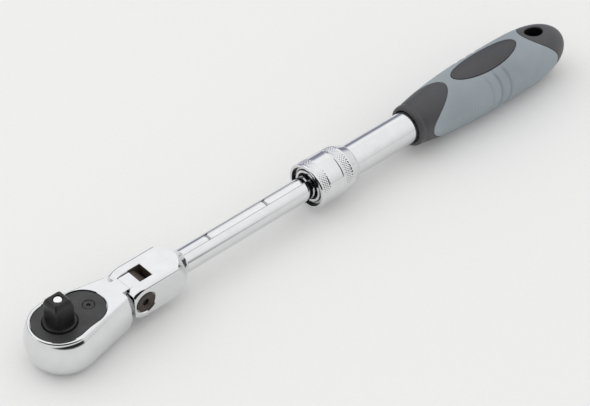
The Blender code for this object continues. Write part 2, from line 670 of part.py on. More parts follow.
def make_grip(body, mats):
    depth = OVERMOLD_DEPTH + GAP
    bore_r = TUBE_R + GAP
    bore_end = TUBE_END + 0.6
    turns = [2 * math.pi * i / GRIP_SIDES for i in range(GRIP_SIDES)]
    rings = [[(x, bore_r * math.sin(a), bore_r * math.cos(a)) for a in turns]
             for x in (bore_end, GRIP_START + 1.2)]
    rings.append(grip_ring(fixed(GRIP_START + 0.2), 1.2))
    rings.append(grip_ring(fixed(GRIP_START), 0.6))
    rings.append(grip_ring(fixed(GRIP_START + 0.6), 0.0))
    front = fixed(GRIP_START + 0.6)
    rings += [grip_ring(between(front, nose_edge, t), 0.0) for t in (0.25, 0.5, 0.75, 1.0)]
    rings += [grip_ring(between(nose_edge, tail_edge, t), depth) for t in (0.0, 0.25, 0.5, 0.75, 1.0)]
    last = fixed(ROUND_END_X)
    rings += [grip_ring(between(tail_edge, last, t), 0.0) for t in (0.0, 0.5, 1.0)]
    for step in range(1, 7):
        x = mix(ROUND_END_X, GRIP_END - 0.05, math.sin(math.radians(90 * step / 6)))
        rings.append(grip_ring(fixed(x), 0.0))
    core = finish_mesh(rings_mesh(rings), "grip_core", body, mats["black_plastic"])
    hole = [(HANG_HOLE_X + HANG_HOLE_HALF_LENGTH * math.cos(a), HANG_HOLE_HALF_WIDTH * math.sin(a))
            for a in [2 * math.pi * i / 32 for i in range(32)]]
    boolean(core, prism(hole, -30, 30), body)

    start = shifted(nose_edge, GAP)
    end = shifted(tail_edge, -GAP)
    rings = [grip_ring(between(start, end, i / 10), 0.0) for i in range(11)]
    rings += [grip_ring(between(start, end, 1 - i / 4), OVERMOLD_DEPTH) for i in range(5)]
    overmold = finish_mesh(rings_mesh(rings, close=True), "grip_overmold", body, mats["grey_rubber"])
    boolean(overmold, badge_patch(0.35, -3.0, 1.2), body)
    finish_mesh(badge_patch(0.0, -0.25, 0.85), "grip_badge", body, mats["black_plastic"])


def badge_patch(grow, rise, depth, around=28):
    """An oval patch that follows the top of the grip; its top is -rise above the surface."""
    def point(u, v, below):
        x = BADGE_X + u * (BADGE_HALF_LENGTH + grow)
        r = grip_radius(x)
        y = v * (BADGE_HALF_WIDTH + grow)
        return (x, y, math.sqrt(r * r - y * y) - below)

    rows = []
    for below, shares in ((rise, (0.02, 0.55, 1.0)), (depth, (1.0, 0.55, 0.02))):
        for share in shares:
            rows.append([point(share * math.cos(a), share * math.sin(a), below)
                         for a in [2 * math.pi * i / around for i in range(around)]])
    return rings_mesh(rows)


# ---------------------------------------------------------------- assembly


def build():
    clear_scene()
    mats = {
        "chrome": material("polished_chrome", (0.83, 0.84, 0.86), 0.08, 1.0),
        "oxide": material("black_oxide", (0.055, 0.053, 0.052), 0.42, 0.8),
        "steel": material("hardened_steel", (0.62, 0.63, 0.64), 0.25, 1.0),
        "spring": material("spring_steel", (0.50, 0.51, 0.53), 0.3, 1.0),
        "bronze": material("sintered_bronze", (0.52, 0.36, 0.18), 0.45, 1.0),
        "black_plastic": material("black_plastic", (0.075, 0.075, 0.080), 0.5, 0.0),
        "grey_rubber": material("grey_soft_grip", (0.33, 0.40, 0.44), 0.62, 0.0),
    }
    handle = frame_empty("handle_frame", (MIDDLE_X, 0, FLOOR))
    collar = frame_empty("collar_axis", (COLLAR_START, 0, 0), handle)
    bar = frame_empty("bar_axis", (TUBE_START, 0, 0), handle)
    head = frame_empty("flex_axis", (PIVOT_X, 0, 0), bar)
    pawl = frame_empty("pawl_axis", (PAWL_X, 0, 0), head, PAWL_TILT)
    lever = frame_empty("lever_axis", (LEVER_X, 0, 0), head, LEVER_TILT)
    drive = frame_empty("drive_axis", (0, 0, 0), head)
    release = frame_empty("release_axis", (0, 0, BUTTON_BOTTOM), drive)

    make_head(head, mats)
    make_drive(drive, mats)
    make_release(release, mats)
    make_pawl(pawl, mats)
    make_lever(lever, mats)
    make_bar(bar, mats)
    make_tube(handle, mats)
    make_collar(collar, mats)
    make_grip(handle, mats)


build()
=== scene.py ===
"""Looks of an extendable flex-head ratchet wrench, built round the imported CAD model.

Lengths are in millimetres in the tool's own frame until a mesh is made: X runs from the drive axis
towards the grip, Z = 0 is the bar's centre line, and the square drive points up.
"""
import math

import bmesh
import bpy
from mathutils import Matrix, Vector


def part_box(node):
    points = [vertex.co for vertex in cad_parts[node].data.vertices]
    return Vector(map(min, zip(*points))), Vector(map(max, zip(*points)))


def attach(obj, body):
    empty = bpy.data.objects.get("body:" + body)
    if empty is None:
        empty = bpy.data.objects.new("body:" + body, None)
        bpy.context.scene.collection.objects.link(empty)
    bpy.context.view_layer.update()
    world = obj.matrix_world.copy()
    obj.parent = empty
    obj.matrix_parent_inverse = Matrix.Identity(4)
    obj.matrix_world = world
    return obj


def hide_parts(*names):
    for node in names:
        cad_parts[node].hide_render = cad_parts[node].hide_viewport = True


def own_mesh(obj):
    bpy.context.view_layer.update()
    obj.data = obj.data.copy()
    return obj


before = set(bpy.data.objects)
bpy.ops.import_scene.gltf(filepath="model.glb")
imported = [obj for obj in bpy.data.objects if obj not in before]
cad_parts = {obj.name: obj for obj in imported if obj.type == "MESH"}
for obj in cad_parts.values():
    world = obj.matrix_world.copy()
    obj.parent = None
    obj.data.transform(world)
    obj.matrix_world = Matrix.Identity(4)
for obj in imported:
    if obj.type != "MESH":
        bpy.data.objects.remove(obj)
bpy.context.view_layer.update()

MM = 0.001


def middle(node):
    low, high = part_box(node)
    return (low + high) / 2


DRIVE_AXIS = middle("release_rod")
BAR_AXIS = middle("outer_tube")
ORIGIN = Vector((DRIVE_AXIS.x, BAR_AXIS.y, BAR_AXIS.z))

# ---------------------------------------------------------------- sizes, as in the CAD (mm)
HEAD_TOP = 10.3
HEAD_BOTTOM = -17.6
HEAD_R = 22.8
HEAD_FRONT = 21.4
SHOULDER_X = 40.2
SHOULDER_HALF_WIDTH = 14.6
PLATE_R = 16.75
PLATE_LOBE_R = 14.4
PLATE_LOBE_X = 15.2
PLATE_WAIST = 0.4
PLATE_SCREW_R = 3.4
PLATE_SCREW_HOLE_R = 1.6
PLATE_SOCKET_R = 1.45
PLATE_TOP = 9.9
PLATE_BOTTOM = 7.2
SQUARE = 12.7
DRIVE_TIP = 27.5
BOSS_R = 10.0
BOSS_TOP = 11.4
GEAR_TEETH = 72
GEAR_TIP_R = 12.6
GEAR_ROOT_R = 11.9
GEAR_TOP = 5.4
GEAR_BOTTOM = -4.5
GEAR_CHAMBER_R = 13.05
JOURNAL_R = 9.6
JOURNAL_BOTTOM = -16.9
ROD_R = 2.8
BUTTON_R = 5.2
DETENT_BALL_Z = 19.5
PAWL_X = 20.3
PAWL_CHAMBER_R = 12.6
LEVER_X = 29.5
LEVER_SHAFT_HOLE_R = 3.1
LEVER_DISC_HOLE_R = 6.0
PIVOT_X = 51.7
PIVOT_HEAD_R = 6.6
PIVOT_HOLE_R = 3.15
PIVOT_SOCKET_R = 2.5
TONGUE_HALF_WIDTH = 5.7
TONGUE_R = 10.1
TONGUE_TOP = 9.8
TONGUE_STEP_X = 45.6
YOKE_HALF_WIDTH = 12.9
YOKE_HALF_HEIGHT = 11.2
YOKE_EDGE_R = 2.2
EAR_FRONT_X = 43.3
YOKE_SLOT_HALF_WIDTH = 6.0
# Where the painted slot shade starts along the tool.
SLOT_SHADE_X = 54.0
YOKE_SLOT_END = 62.1
YOKE_NECK = (76.0, 85.6, 89.4)
BAR_R = 7.65
BAR_END = 252.0
NOTCH_X = 109.2
NOTCH_PITCH = 44.8
NOTCH_COUNT = 3
NOTCH_Z = 8.25
NOTCH_R = 1.9
NOTCH_HALF_LENGTH = 2.75
KEYWAY_HALF_WIDTH = 2.2
KEYWAY_FLOOR = 6.6
TUBE_R = 10.59
TUBE_START = 189.5
TUBE_END = 374.0
TUBE_NECK_END = 202.0
RING_GROOVE = (204.45, 205.95)
LOCK_BALL_X = 198.8
COLLAR_START = 187.0
COLLAR_END = 221.0
COLLAR_R = 15.2
COLLAR_REAR_R = 14.6
COLLAR_BORE_R = 12.6
RING_MEAN_R = 9.9
COLLAR_GROOVE_X = 205.6
COLLAR_TAPER_X = 214.2
KNURL_CUTS = 48
FRONT_KNURL = (188.4, 194.6, 0.26)
REAR_KNURL = (207.3, 213.4, 0.46)
COLLAR_SPRING = (206.1, 217.7)
RELEASE_SPRING = (-12.3, -6.3)
GRIP_START = 272.0
GRIP_END = 412.0
GRIP_R = 19.4
ROUND_END_X = 399.0
OVERMOLD_DEPTH = 2.1
HANG_HOLE_X = 386.3
HANG_HOLE_HALF_LENGTH = 7.25
HANG_HOLE_HALF_WIDTH = 5.0
FINGER_GROOVES = ((328.6, 0.5), (336.6, 0.85), (344.6, 0.75))
BADGE_X = 340.0
BADGE_HALF_LENGTH = 28.0
BADGE_HALF_WIDTH = 9.3

# ---------------------------------------------------------------- node materials


def grey(level):
    return (level, level, level)


def set_stops(node, stops):
    """Give a colour ramp node its (position, colour) stops."""
    elements = node.color_ramp.elements
    while len(elements) < len(stops):
        elements.new(0.5)
    for element, (position, colour) in zip(elements, stops):
        element.position = position
        element.color = (*colour, 1.0)


class Nodes:
    """Short spelling for building a material's node tree."""

    def __init__(self, name):
        self.mat = bpy.data.materials.new(name)
        self.mat.use_nodes = True
        self.tree = self.mat.node_tree
        self.shader = self.tree.nodes["Principled BSDF"]
        self.coords = self.tree.nodes.new("ShaderNodeTexCoord").outputs["Object"]

    def link(self, a, b):
        self.tree.links.new(a, b)

    def scaled(self, scale):
        node = self.tree.nodes.new("ShaderNodeMapping")
        node.inputs["Scale"].default_value = scale
        self.link(self.coords, node.inputs["Vector"])
        return node.outputs["Vector"]

    def noise(self, scale, detail=3.0, stretch=(1, 1, 1)):
        node = self.tree.nodes.new("ShaderNodeTexNoise")
        node.inputs["Scale"].default_value = scale
        node.inputs["Detail"].default_value = detail
        self.link(self.scaled(stretch), node.inputs["Vector"])
        return node.outputs["Fac"]

    def cells(self, scale, stretch=(1, 1, 1)):
        node = self.tree.nodes.new("ShaderNodeTexVoronoi")
        node.inputs["Scale"].default_value = scale
        self.link(self.scaled(stretch), node.inputs["Vector"])
        return node.outputs["Distance"]

    def ramp(self, value, stops):
        node = self.tree.nodes.new("ShaderNodeValToRGB")
        set_stops(node, stops)
        self.link(value, node.inputs["Fac"])
        return node.outputs["Color"]

    def span(self, value, low, high, from_low=0.3, from_high=0.7):
        node = self.tree.nodes.new("ShaderNodeMapRange")
        node.inputs["From Min"].default_value = from_low
        node.inputs["From Max"].default_value = from_high
        node.inputs["To Min"].default_value = low
        node.inputs["To Max"].default_value = high
        self.link(value, node.inputs["Value"])
        return node.outputs["Result"]

    def math(self, operation, a, b):
        node = self.tree.nodes.new("ShaderNodeMath")
        node.operation = operation
        for socket, value in zip(node.inputs, (a, b)):
            if isinstance(value, (int, float)):
                socket.default_value = value
            else:
                self.link(value, socket)
        return node.outputs["Value"]

    def bump(self, height, strength, distance):
        node = self.tree.nodes.new("ShaderNodeBump")
        node.inputs["Strength"].default_value = strength
        node.inputs["Distance"].default_value = distance
        self.link(height, node.inputs["Height"])
        self.link(node.outputs["Normal"], self.shader.inputs["Normal"])

    def feed(self, socket, value):
        if isinstance(value, (int, float)):
            self.shader.inputs[socket].default_value = value
        else:
            self.link(value, self.shader.inputs[socket])


def chrome_material(name="chrome_plate", light=0.76, rough=(0.035, 0.085)):
    """Polished plate over forged steel: slow ripple of the polishing wheel, faint hairlines."""
    n = Nodes(name)
    haze = n.noise(140.0, 4.0)
    tint = [(0.3, (light - 0.045, light - 0.04, light - 0.03)),
            (0.7, (light, light + 0.003, light + 0.012))]
    n.feed("Base Color", n.ramp(haze, tint))
    n.feed("Metallic", 1.0)
    hairlines = n.noise(2200.0, 2.0, (0.04, 1.0, 1.0))
    gloss = n.math("ADD", n.math("MULTIPLY", haze, 0.6), n.math("MULTIPLY", hairlines, 0.4))
    n.feed("Roughness", n.span(gloss, rough[0], rough[1]))
    ripple = n.noise(55.0, 1.0)
    n.bump(n.math("ADD", ripple, n.math("MULTIPLY", hairlines, 0.03)), 0.10, 0.0003)
    return n.mat


def oxide_material(name, dark, light, rough=(0.34, 0.52), metallic=0.65, grain=0.35):
    """Black-oxided steel with a fine sandblasted grain and a cloudy depth of black."""
    n = Nodes(name)
    clouds = n.noise(90.0, 5.0)
    grains = n.noise(2600.0, 2.0)
    n.feed("Base Color", n.ramp(clouds, [(0.3, dark), (0.72, light)]))
    n.feed("Metallic", metallic)
    gloss = n.math("ADD", n.math("MULTIPLY", clouds, 0.5), n.math("MULTIPLY", grains, 0.5))
    n.feed("Roughness", n.span(gloss, rough[0], rough[1]))
    n.bump(grains, grain, 0.0001)
    return n.mat


def steel_material(name, colour, rough=(0.16, 0.34), metallic=1.0, lay=(1.0, 0.05, 1.0)):
    """Ground or drawn metal with a directional lay."""
    n = Nodes(name)
    marks = n.noise(1500.0, 3.0, lay)
    dull = tuple(0.82 * c for c in colour)
    n.feed("Base Color", n.ramp(marks, [(0.3, dull), (0.7, colour)]))
    n.feed("Metallic", metallic)
    n.feed("Roughness", n.span(marks, rough[0], rough[1]))
    n.bump(marks, 0.12, 0.00006)
    return n.mat


def moulded_material(name, dark, light, rough, grain_scale=1500.0, grain=0.25, depth=0.00012):
    """Moulded plastic or rubber: leather-fine spark-eroded grain and slight colour drift."""
    n = Nodes(name)
    drift = n.noise(35.0, 4.0)
    pits = n.cells(grain_scale)
    fine = n.noise(grain_scale * 1.7, 2.0)
    colour = n.math("ADD", n.math("MULTIPLY", drift, 0.7), n.math("MULTIPLY", fine, 0.3))
    n.feed("Base Color", n.ramp(colour, [(0.32, dark), (0.68, light)]))
    n.feed("Roughness", n.span(fine, rough[0], rough[1]))
    n.bump(n.math("ADD", pits, n.math("MULTIPLY", fine, 0.5)), grain, depth)
    return n.mat


def floor_material():
    n = Nodes("studio_paper")
    fibre = n.noise(400.0, 4.0)
    n.feed("Base Color", n.ramp(fibre, [(0.3, (0.800, 0.800, 0.793)), (0.7, (0.815, 0.815, 0.808))]))
    n.feed("Roughness", n.span(fibre, 0.75, 0.9))
    n.bump(fibre, 0.05, 0.0001)
    return n.mat


CHROME = chrome_material()
PLATE_OXIDE = oxide_material("plate_black_oxide", (0.046, 0.046, 0.047), (0.078, 0.078, 0.079))
DRIVE_OXIDE = oxide_material("drive_black_oxide", grey(0.020), (0.040, 0.039, 0.039), (0.26, 0.42))
SCREW_OXIDE = oxide_material("screw_brown_oxide", (0.045, 0.036, 0.031), (0.085, 0.070, 0.061),
                             (0.3, 0.46))
# Dark brown painted shade inside the yoke's slot and in the gap behind the head's shoulder.
SLOT_SHADE_PAINT = oxide_material("painted_slot_shade", (0.050, 0.040, 0.033), (0.085, 0.069, 0.058),
                           (0.5, 0.7), 0.3)
# Near-black painted shade for the insides of bores, mouths and the hanging hole, and a painted dark
# reflection in the fillet corner behind the yoke.
BORE_SHADE_PAINT = oxide_material("painted_bore_shade", grey(0.010), (0.022, 0.021, 0.020), (0.3, 0.5), 0.5)
NOTCH_STEEL = steel_material("bare_notch", (0.42, 0.43, 0.45), (0.2, 0.34))
BRIGHT_STEEL = steel_material("bright_steel", (0.90, 0.90, 0.91), (0.08, 0.2))
GROUND_STEEL = steel_material("ground_steel", (0.62, 0.63, 0.64))
SPRING_STEEL = steel_material("spring_steel", (0.5, 0.51, 0.53))
RING_STEEL = steel_material("ring_steel", (0.80, 0.80, 0.82), (0.1, 0.24))
BRONZE = steel_material("sintered_bronze", (0.55, 0.38, 0.2), (0.34, 0.52), 1.0, (1.0, 1.0, 1.0))
BLACK_PLASTIC = moulded_material("black_plastic", (0.045, 0.045, 0.048), (0.062, 0.062, 0.066),
                                 (0.40, 0.56))
BADGE_PLASTIC = moulded_material("badge_plastic", (0.038, 0.038, 0.042), (0.050, 0.050, 0.056),
                                 (0.36, 0.5), 2400.0)
GREY_GRIP = moulded_material("grey_soft_grip", (0.236, 0.272, 0.298), (0.300, 0.340, 0.368),
                             (0.5, 0.66), 1300.0, 0.35, 0.00018)
FLOOR = floor_material()

# ---------------------------------------------------------------- shape helpers


def mix(a, b, t):
    return a + (b - a) * t


def smooth(t):
    t = min(max(t, 0.0), 1.0)
    return t * t * (3 - 2 * t)


def orient(axis, along, a, b):
    return {"X": (along, a, b), "Y": (b, along, a), "Z": (a, b, along)}[axis]


def rings_mesh(rings, close=False):
    """Skin equal-length rings of points; the ends are capped unless the rings close on themselves."""
    bm = bmesh.new()
    rows = [[bm.verts.new(p) for p in ring] for ring in rings]
    size = len(rows[0])
    pairs = list(zip(rows, rows[1:]))
    if close:
        pairs.append((rows[-1], rows[0]))
    for low, high in pairs:
        for i in range(size):
            j = (i + 1) % size
            bm.faces.new((low[i], low[j], high[j], high[i]))
    if not close:
        bm.faces.new(rows[0][::-1])
        bm.faces.new(rows[-1])
    return bm


def turned(profile, axis="X", centre=(0.0, 0.0), sides=96, hollow=False):
    angles = [2 * math.pi * i / sides for i in range(sides)]
    u, v = centre
    rings = [[orient(axis, along, u + radius * math.cos(a), v + radius * math.sin(a)) for a in angles]
             for along, radius in profile]
    return rings_mesh(rings, close=hollow)


def rod(start, end, radius, axis="X", centre=(0.0, 0.0), sides=64):
    return turned([(start, radius), (end, radius)], axis, centre, sides)


def prism(outline, start, end, axis="Z"):
    return rings_mesh([[orient(axis, along, a, b) for a, b in outline] for along in (start, end)])


def block(x0, x1, y0, y1, z0, z1):
    return prism([(x0, y0), (x1, y0), (x1, y1), (x0, y1)], z0, z1)


def arc(radius, start, end, count, centre=(0.0, 0.0)):
    points = []
    for i in range(count):
        a = math.radians(start + (end - start) * i / (count - 1))
        points.append((centre[0] + radius * math.cos(a), centre[1] + radius * math.sin(a)))
    return points


def rounded(profile, radius, steps=4):
    """Round the inner corners of an open (along, radius) profile with small arcs."""
    result = [profile[0]]
    for before, here, after in zip(profile, profile[1:], profile[2:]):
        p, q, s = Vector(before), Vector(here), Vector(after)
        reach = min(radius, 0.45 * (p - q).length, 0.45 * (s - q).length)
        a = q + (p - q).normalized() * reach
        b = q + (s - q).normalized() * reach
        for i in range(steps + 1):
            t = i / steps
            point = a * (1 - t) ** 2 + q * 2 * t * (1 - t) + b * t ** 2
            result.append((point.x, point.y))
    return result + [profile[-1]]


def rounded_loop(profile, radius, steps=3):
    """The same for a closed loop."""
    wrapped = [profile[-1]] + list(profile) + [profile[0]]
    return rounded(wrapped, radius, steps)[1:-1]


def hexagon(radius):
    return [(radius * math.cos(k * math.pi / 3), radius * math.sin(k * math.pi / 3)) for k in range(6)]


def rounded_box(half_width, half_height, corner, per_corner=9):
    points = []
    for sx, sy, start in ((1, 1, 0), (-1, 1, 90), (-1, -1, 180), (1, -1, 270)):
        centre = (sx * (half_width - corner), sy * (half_height - corner))
        points += arc(corner, start, start + 90, per_corner, centre)
    return points


def place(bm):
    """Move a bmesh from the tool's frame in millimetres to the CAD's frame in metres."""
    bmesh.ops.remove_doubles(bm, verts=bm.verts, dist=1e-5)
    bmesh.ops.transform(bm, matrix=Matrix.Translation(ORIGIN) @ Matrix.Scale(MM, 4), verts=bm.verts)
    bmesh.ops.recalc_face_normals(bm, faces=bm.faces)


def mesh_object(bm, name):
    place(bm)
    mesh = bpy.data.meshes.new(name)
    bm.to_mesh(mesh)
    bm.free()
    obj = bpy.data.objects.new(name, mesh)
    bpy.context.scene.collection.objects.link(obj)
    return obj


def bake(obj):
    """Replace obj's mesh by its evaluated one and drop its modifiers."""
    graph = bpy.context.evaluated_depsgraph_get()
    mesh = bpy.data.meshes.new_from_object(obj.evaluated_get(graph))
    obj.modifiers.clear()
    obj.data = mesh


def split_faces(mesh, x):
    """Split the faces that cross the plane at x, so that a material can end there."""
    bm = bmesh.new()
    bm.from_mesh(mesh)
    bmesh.ops.bisect_plane(bm, geom=list(bm.verts) + list(bm.edges) + list(bm.faces),
                           plane_co=ORIGIN + Vector((x * MM, 0, 0)), plane_no=(1, 0, 0))
    bm.to_mesh(mesh)
    bm.free()


def piece(bm, name, body, mats, nodes, cuts=(), keep_common=None, joins=(), sharp=32.0,
          finish_or_shade_at=None, seam_x=None):
    """Build a visible piece from a bmesh in the tool's frame, and let it ride on its body.

    First it is cut down to keep_common, then joins are added, then cuts are taken away.
    The face function (centre, normal) says which of mats a face has, by finish and by painted shade: an
    index, or True for the second.
    """
    obj = mesh_object(bm, name)
    tools = [(keep_common, "INTERSECT")] if keep_common else []
    tools += [(t, "UNION") for t in joins] + [(t, "DIFFERENCE") for t in cuts]
    guides = []
    for tool, operation in tools:
        guide = mesh_object(tool, name + "_tool")
        guides.append(guide)
        mod = obj.modifiers.new("cut", 'BOOLEAN')
        mod.operation = operation
        mod.object = guide
    if tools:
        bake(obj)
    for guide in guides:
        bpy.data.objects.remove(guide)
    mesh = obj.data
    if seam_x is not None:
        split_faces(mesh, seam_x)
    mesh.materials.clear()
    for mat in mats:
        mesh.materials.append(mat)
    if finish_or_shade_at:
        for face in mesh.polygons:
            centre = (face.center - ORIGIN) / MM
            face.material_index = int(finish_or_shade_at(centre, face.normal))
    mesh.shade_smooth()
    mesh.set_sharp_from_angle(angle=math.radians(sharp))
    weighted = obj.modifiers.new("flat_faces_stay_flat", 'WEIGHTED_NORMAL')
    weighted.keep_sharp = True
    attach(obj, body)
    if nodes:
        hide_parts(*nodes)
    return obj


# ---------------------------------------------------------------- ratchet head


def head_outline(radius, centre, shoulder, shoulder_x, nose_steps=56, side_steps=10, corner=0.7):
    """Plan outline: a round nose, straight sides and a just softened corner at the shoulder."""
    span = shoulder_x - centre
    turn = math.atan2(shoulder, span) + math.acos(radius / math.hypot(span, shoulder))
    touch = (centre + radius * math.cos(turn), radius * math.sin(turn))
    side = arc(corner, 0, 80, 4, (shoulder_x - corner, shoulder - corner))
    for i in range(1, side_steps):
        side.append((mix(shoulder_x, touch[0], i / side_steps), mix(shoulder, touch[1], i / side_steps)))
    for i in range(nose_steps + 1):
        a = mix(turn, math.pi, i / nose_steps)
        side.append((centre + radius * math.cos(a), radius * math.sin(a)))
    return side + [(x, -y) for x, y in side[-2::-1]]


def head_shell():
    """Forging blank, as outlines at rising levels: round belly, upright wall, softened top edge."""
    widest = (HEAD_R, HEAD_R - HEAD_FRONT, SHOULDER_HALF_WIDTH, SHOULDER_X)
    base = (13.3, 1.0, 6.8, SHOULDER_X - 7.0)
    rim = (HEAD_R - 3.3, 0.6, SHOULDER_HALF_WIDTH - 3.0, SHOULDER_X)
    top = (HEAD_R - 4.7, 0.1, SHOULDER_HALF_WIDTH - 4.2, SHOULDER_X)
    waist = -3.0
    rim_z = HEAD_TOP - 1.4
    levels = []
    for step in range(25):
        t = math.radians(90 - 90 * step / 24)
        share = 1 - math.cos(t)
        levels.append((waist + (HEAD_BOTTOM - waist) * math.sin(t),
                       [mix(w, b, share) for w, b in zip(widest, base)]))
    for step in range(1, 17):
        t = step / 16
        levels.append((mix(waist, rim_z, t), [mix(w, r, t ** 2.1) for w, r in zip(widest, rim)]))
    for step in range(1, 11):
        t = math.radians(9 * step)
        levels.append((mix(rim_z, HEAD_TOP, math.sin(t)),
                       [mix(u, r, math.cos(t)) for u, r in zip(top, rim)]))
    return rings_mesh([[(x, y, z) for x, y in head_outline(*sizes)] for z, sizes in levels])


def tongue():
    """The flat tongue behind the head, with a shallow step across its top."""
    corner = math.degrees(math.asin(TONGUE_TOP / TONGUE_R))
    outline = [(33.0, HEAD_TOP), (33.0, -TONGUE_TOP)]
    outline += arc(TONGUE_R, -corner, corner - 2.5, 40, (PIVOT_X, 0.0))
    outline += [(PIVOT_X + TONGUE_R * math.cos(math.radians(corner)) - 0.5, TONGUE_TOP)]
    outline += [(TONGUE_STEP_X + 0.5, TONGUE_TOP), (TONGUE_STEP_X + 0.1, TONGUE_TOP - 0.35),
                (TONGUE_STEP_X - 0.2, TONGUE_TOP - 0.35), (TONGUE_STEP_X - 0.7, HEAD_TOP)]
    half = TONGUE_HALF_WIDTH
    rings = []
    for y, inset in ((-half, 0.35), (-half + 0.35, 0.0), (half - 0.35, 0.0), (half, 0.35)):
        rings.append([(x, y, z - inset if z > 0 else z + inset) for x, z in outline])
    return rings_mesh(rings)


def plate_outline(offset=0.0, count=90):
    """Two circles joined by sides that draw in a little between them."""
    r1 = PLATE_R + offset
    r2 = PLATE_LOBE_R + offset
    turn = math.degrees(math.acos((r1 - r2) / PLATE_LOBE_X))
    big = arc(r1, turn, 360 - turn, count)
    small = arc(r2, -turn, turn, count, (PLATE_LOBE_X, 0.0))
    side = []
    for i in range(1, 12):
        t = i / 12
        draw_in = PLATE_WAIST * math.sin(math.pi * t) ** 2
        side.append((mix(small[-1][0], big[0][0], t), mix(small[-1][1], big[0][1], t) - draw_in))
    return big + [(x, -y) for x, y in side[::-1]] + small + side


def plate_rings(levels):
    return rings_mesh([[(x, y, z) for x, y in plate_outline(offset)] for z, offset in levels])


def make_head():
    seat = PLATE_BOTTOM - 0.3
    gap = 0.3
    lip = 0.35
    journal_bore = JOURNAL_R + 0.25
    plate_recess = plate_rings(((seat, gap), (HEAD_TOP - lip, gap), (HEAD_TOP + 0.01, gap + lip),
                                (HEAD_TOP + 3, gap + lip)))
    cuts = [
        plate_recess,
        rod(GEAR_BOTTOM - 0.3, seat + 1, GEAR_CHAMBER_R, "Z"),
        rod(-4.3, seat + 0.7, PAWL_CHAMBER_R, "Z", (PLATE_LOBE_X, 0)),
        turned([(HEAD_BOTTOM - 2, journal_bore + 0.5), (HEAD_BOTTOM, journal_bore + 0.5),
                (HEAD_BOTTOM + 0.5, journal_bore), (-3.5, journal_bore)], "Z"),
        rod(HEAD_BOTTOM - 2, 3.4, LEVER_SHAFT_HOLE_R, "Z", (LEVER_X, 0)),
        rod(HEAD_BOTTOM - 2, HEAD_BOTTOM + 1.1, LEVER_DISC_HOLE_R, "Z", (LEVER_X, 0)),
        block(24.6, LEVER_X, -3.9, 3.9, -2.6, 3.1),
        rod(-20, 20, PIVOT_HOLE_R + 0.1, "Y", (0, PIVOT_X)),
    ]

    def in_slot(c, normal):
        # Painted shade: the tongue inside the slot and the head's faces behind the shoulder take the
        # dark slot colour.
        if c.x > SLOT_SHADE_X - 1.0 and abs(c.y) < TONGUE_HALF_WIDTH - 0.2:
            return True
        return c.x > SHOULDER_X + 0.2 and c.z < 9.0 and abs(normal.y) < 0.5

    piece(head_shell(), "head_forging", "head", [CHROME, SLOT_SHADE_PAINT], ["head_body"],
          cuts, joins=[tongue()], finish_or_shade_at=in_slot)

    edge = 0.35
    levels = [(PLATE_BOTTOM, 0.0), (PLATE_TOP - edge, 0.0)]
    for i in range(1, 5):
        a = math.radians(90 * i / 4)
        levels.append((PLATE_TOP - edge * (1 - math.sin(a)), -edge * (1 - math.cos(a))))
    hole_r = BOSS_R + 0.35
    hole = [(0, hole_r), (PLATE_TOP - 0.3, hole_r), (PLATE_TOP, hole_r + 0.3), (20, hole_r + 0.3)]
    sink_r = PLATE_SCREW_R + 0.3
    sink = [(8.2, sink_r), (PLATE_TOP - 0.25, sink_r), (PLATE_TOP, sink_r + 0.25), (20, sink_r + 0.25)]
    piece(plate_rings(levels), "cover_plate_finished", "head", [PLATE_OXIDE],
          ["cover_plate"], [turned(hole, "Z"), turned(sink, "Z", (PAWL_X, 0), 48),
                            rod(0, 20, PLATE_SCREW_HOLE_R, "Z", (PAWL_X, 0), 32)])

    screw = [(3.6, 1.2), (8.3, 1.2), (8.3, PLATE_SCREW_R), (9.75, PLATE_SCREW_R), (9.75, 2.3),
             (9.45, 2.0), (9.45, 1.3)]
    socket = [(PAWL_X + x, y) for x, y in hexagon(PLATE_SOCKET_R)]
    piece(turned(rounded(screw, 0.25), "Z", (PAWL_X, 0), 64), "plate_screw_finished", "head",
          [PLATE_OXIDE], ["plate_screw"], [prism(socket, 8.4, 12)])


# ---------------------------------------------------------------- drive


def gear_outline():
    pitch = 360 / GEAR_TEETH
    points = []
    for tooth in range(GEAR_TEETH):
        for radius, offset in ((GEAR_ROOT_R, -0.6), (GEAR_ROOT_R, 0.6),
                               (GEAR_TIP_R, 2.0), (GEAR_TIP_R, 3.0)):
            a = math.radians(tooth * pitch + offset)
            points.append((radius * math.cos(a), radius * math.sin(a)))
    return points


def square_drive():
    """The square, cut back towards the tip by a turned cone with a soft shoulder."""
    levels = [(BOSS_TOP - 1.0, 9.0, 0.0), (BOSS_TOP - 0.1, 9.0, -0.25), (BOSS_TOP + 0.4, 9.0, 0.0)]
    cone = rounded([(DRIVE_TIP - 4.6, 8.75), (DRIVE_TIP - 3.2, 8.3), (DRIVE_TIP - 1.2, 7.3),
                    (DRIVE_TIP, 5.9)], 0.8)
    levels += [(z, reach, max(0.0, 6.6 - reach)) for z, reach in cone]
    levels.append((DRIVE_TIP, 5.2, 1.1))
    rings = []
    for z, reach, inset in levels:
        half = SQUARE / 2 - inset
        ring = []
        for x, y in rounded_box(half, half, 1.0, 12):
            shrink = min(1.0, reach / math.hypot(x, y))
            ring.append((x * shrink, y * shrink, z))
        rings.append(ring)
    return rings_mesh(rings)


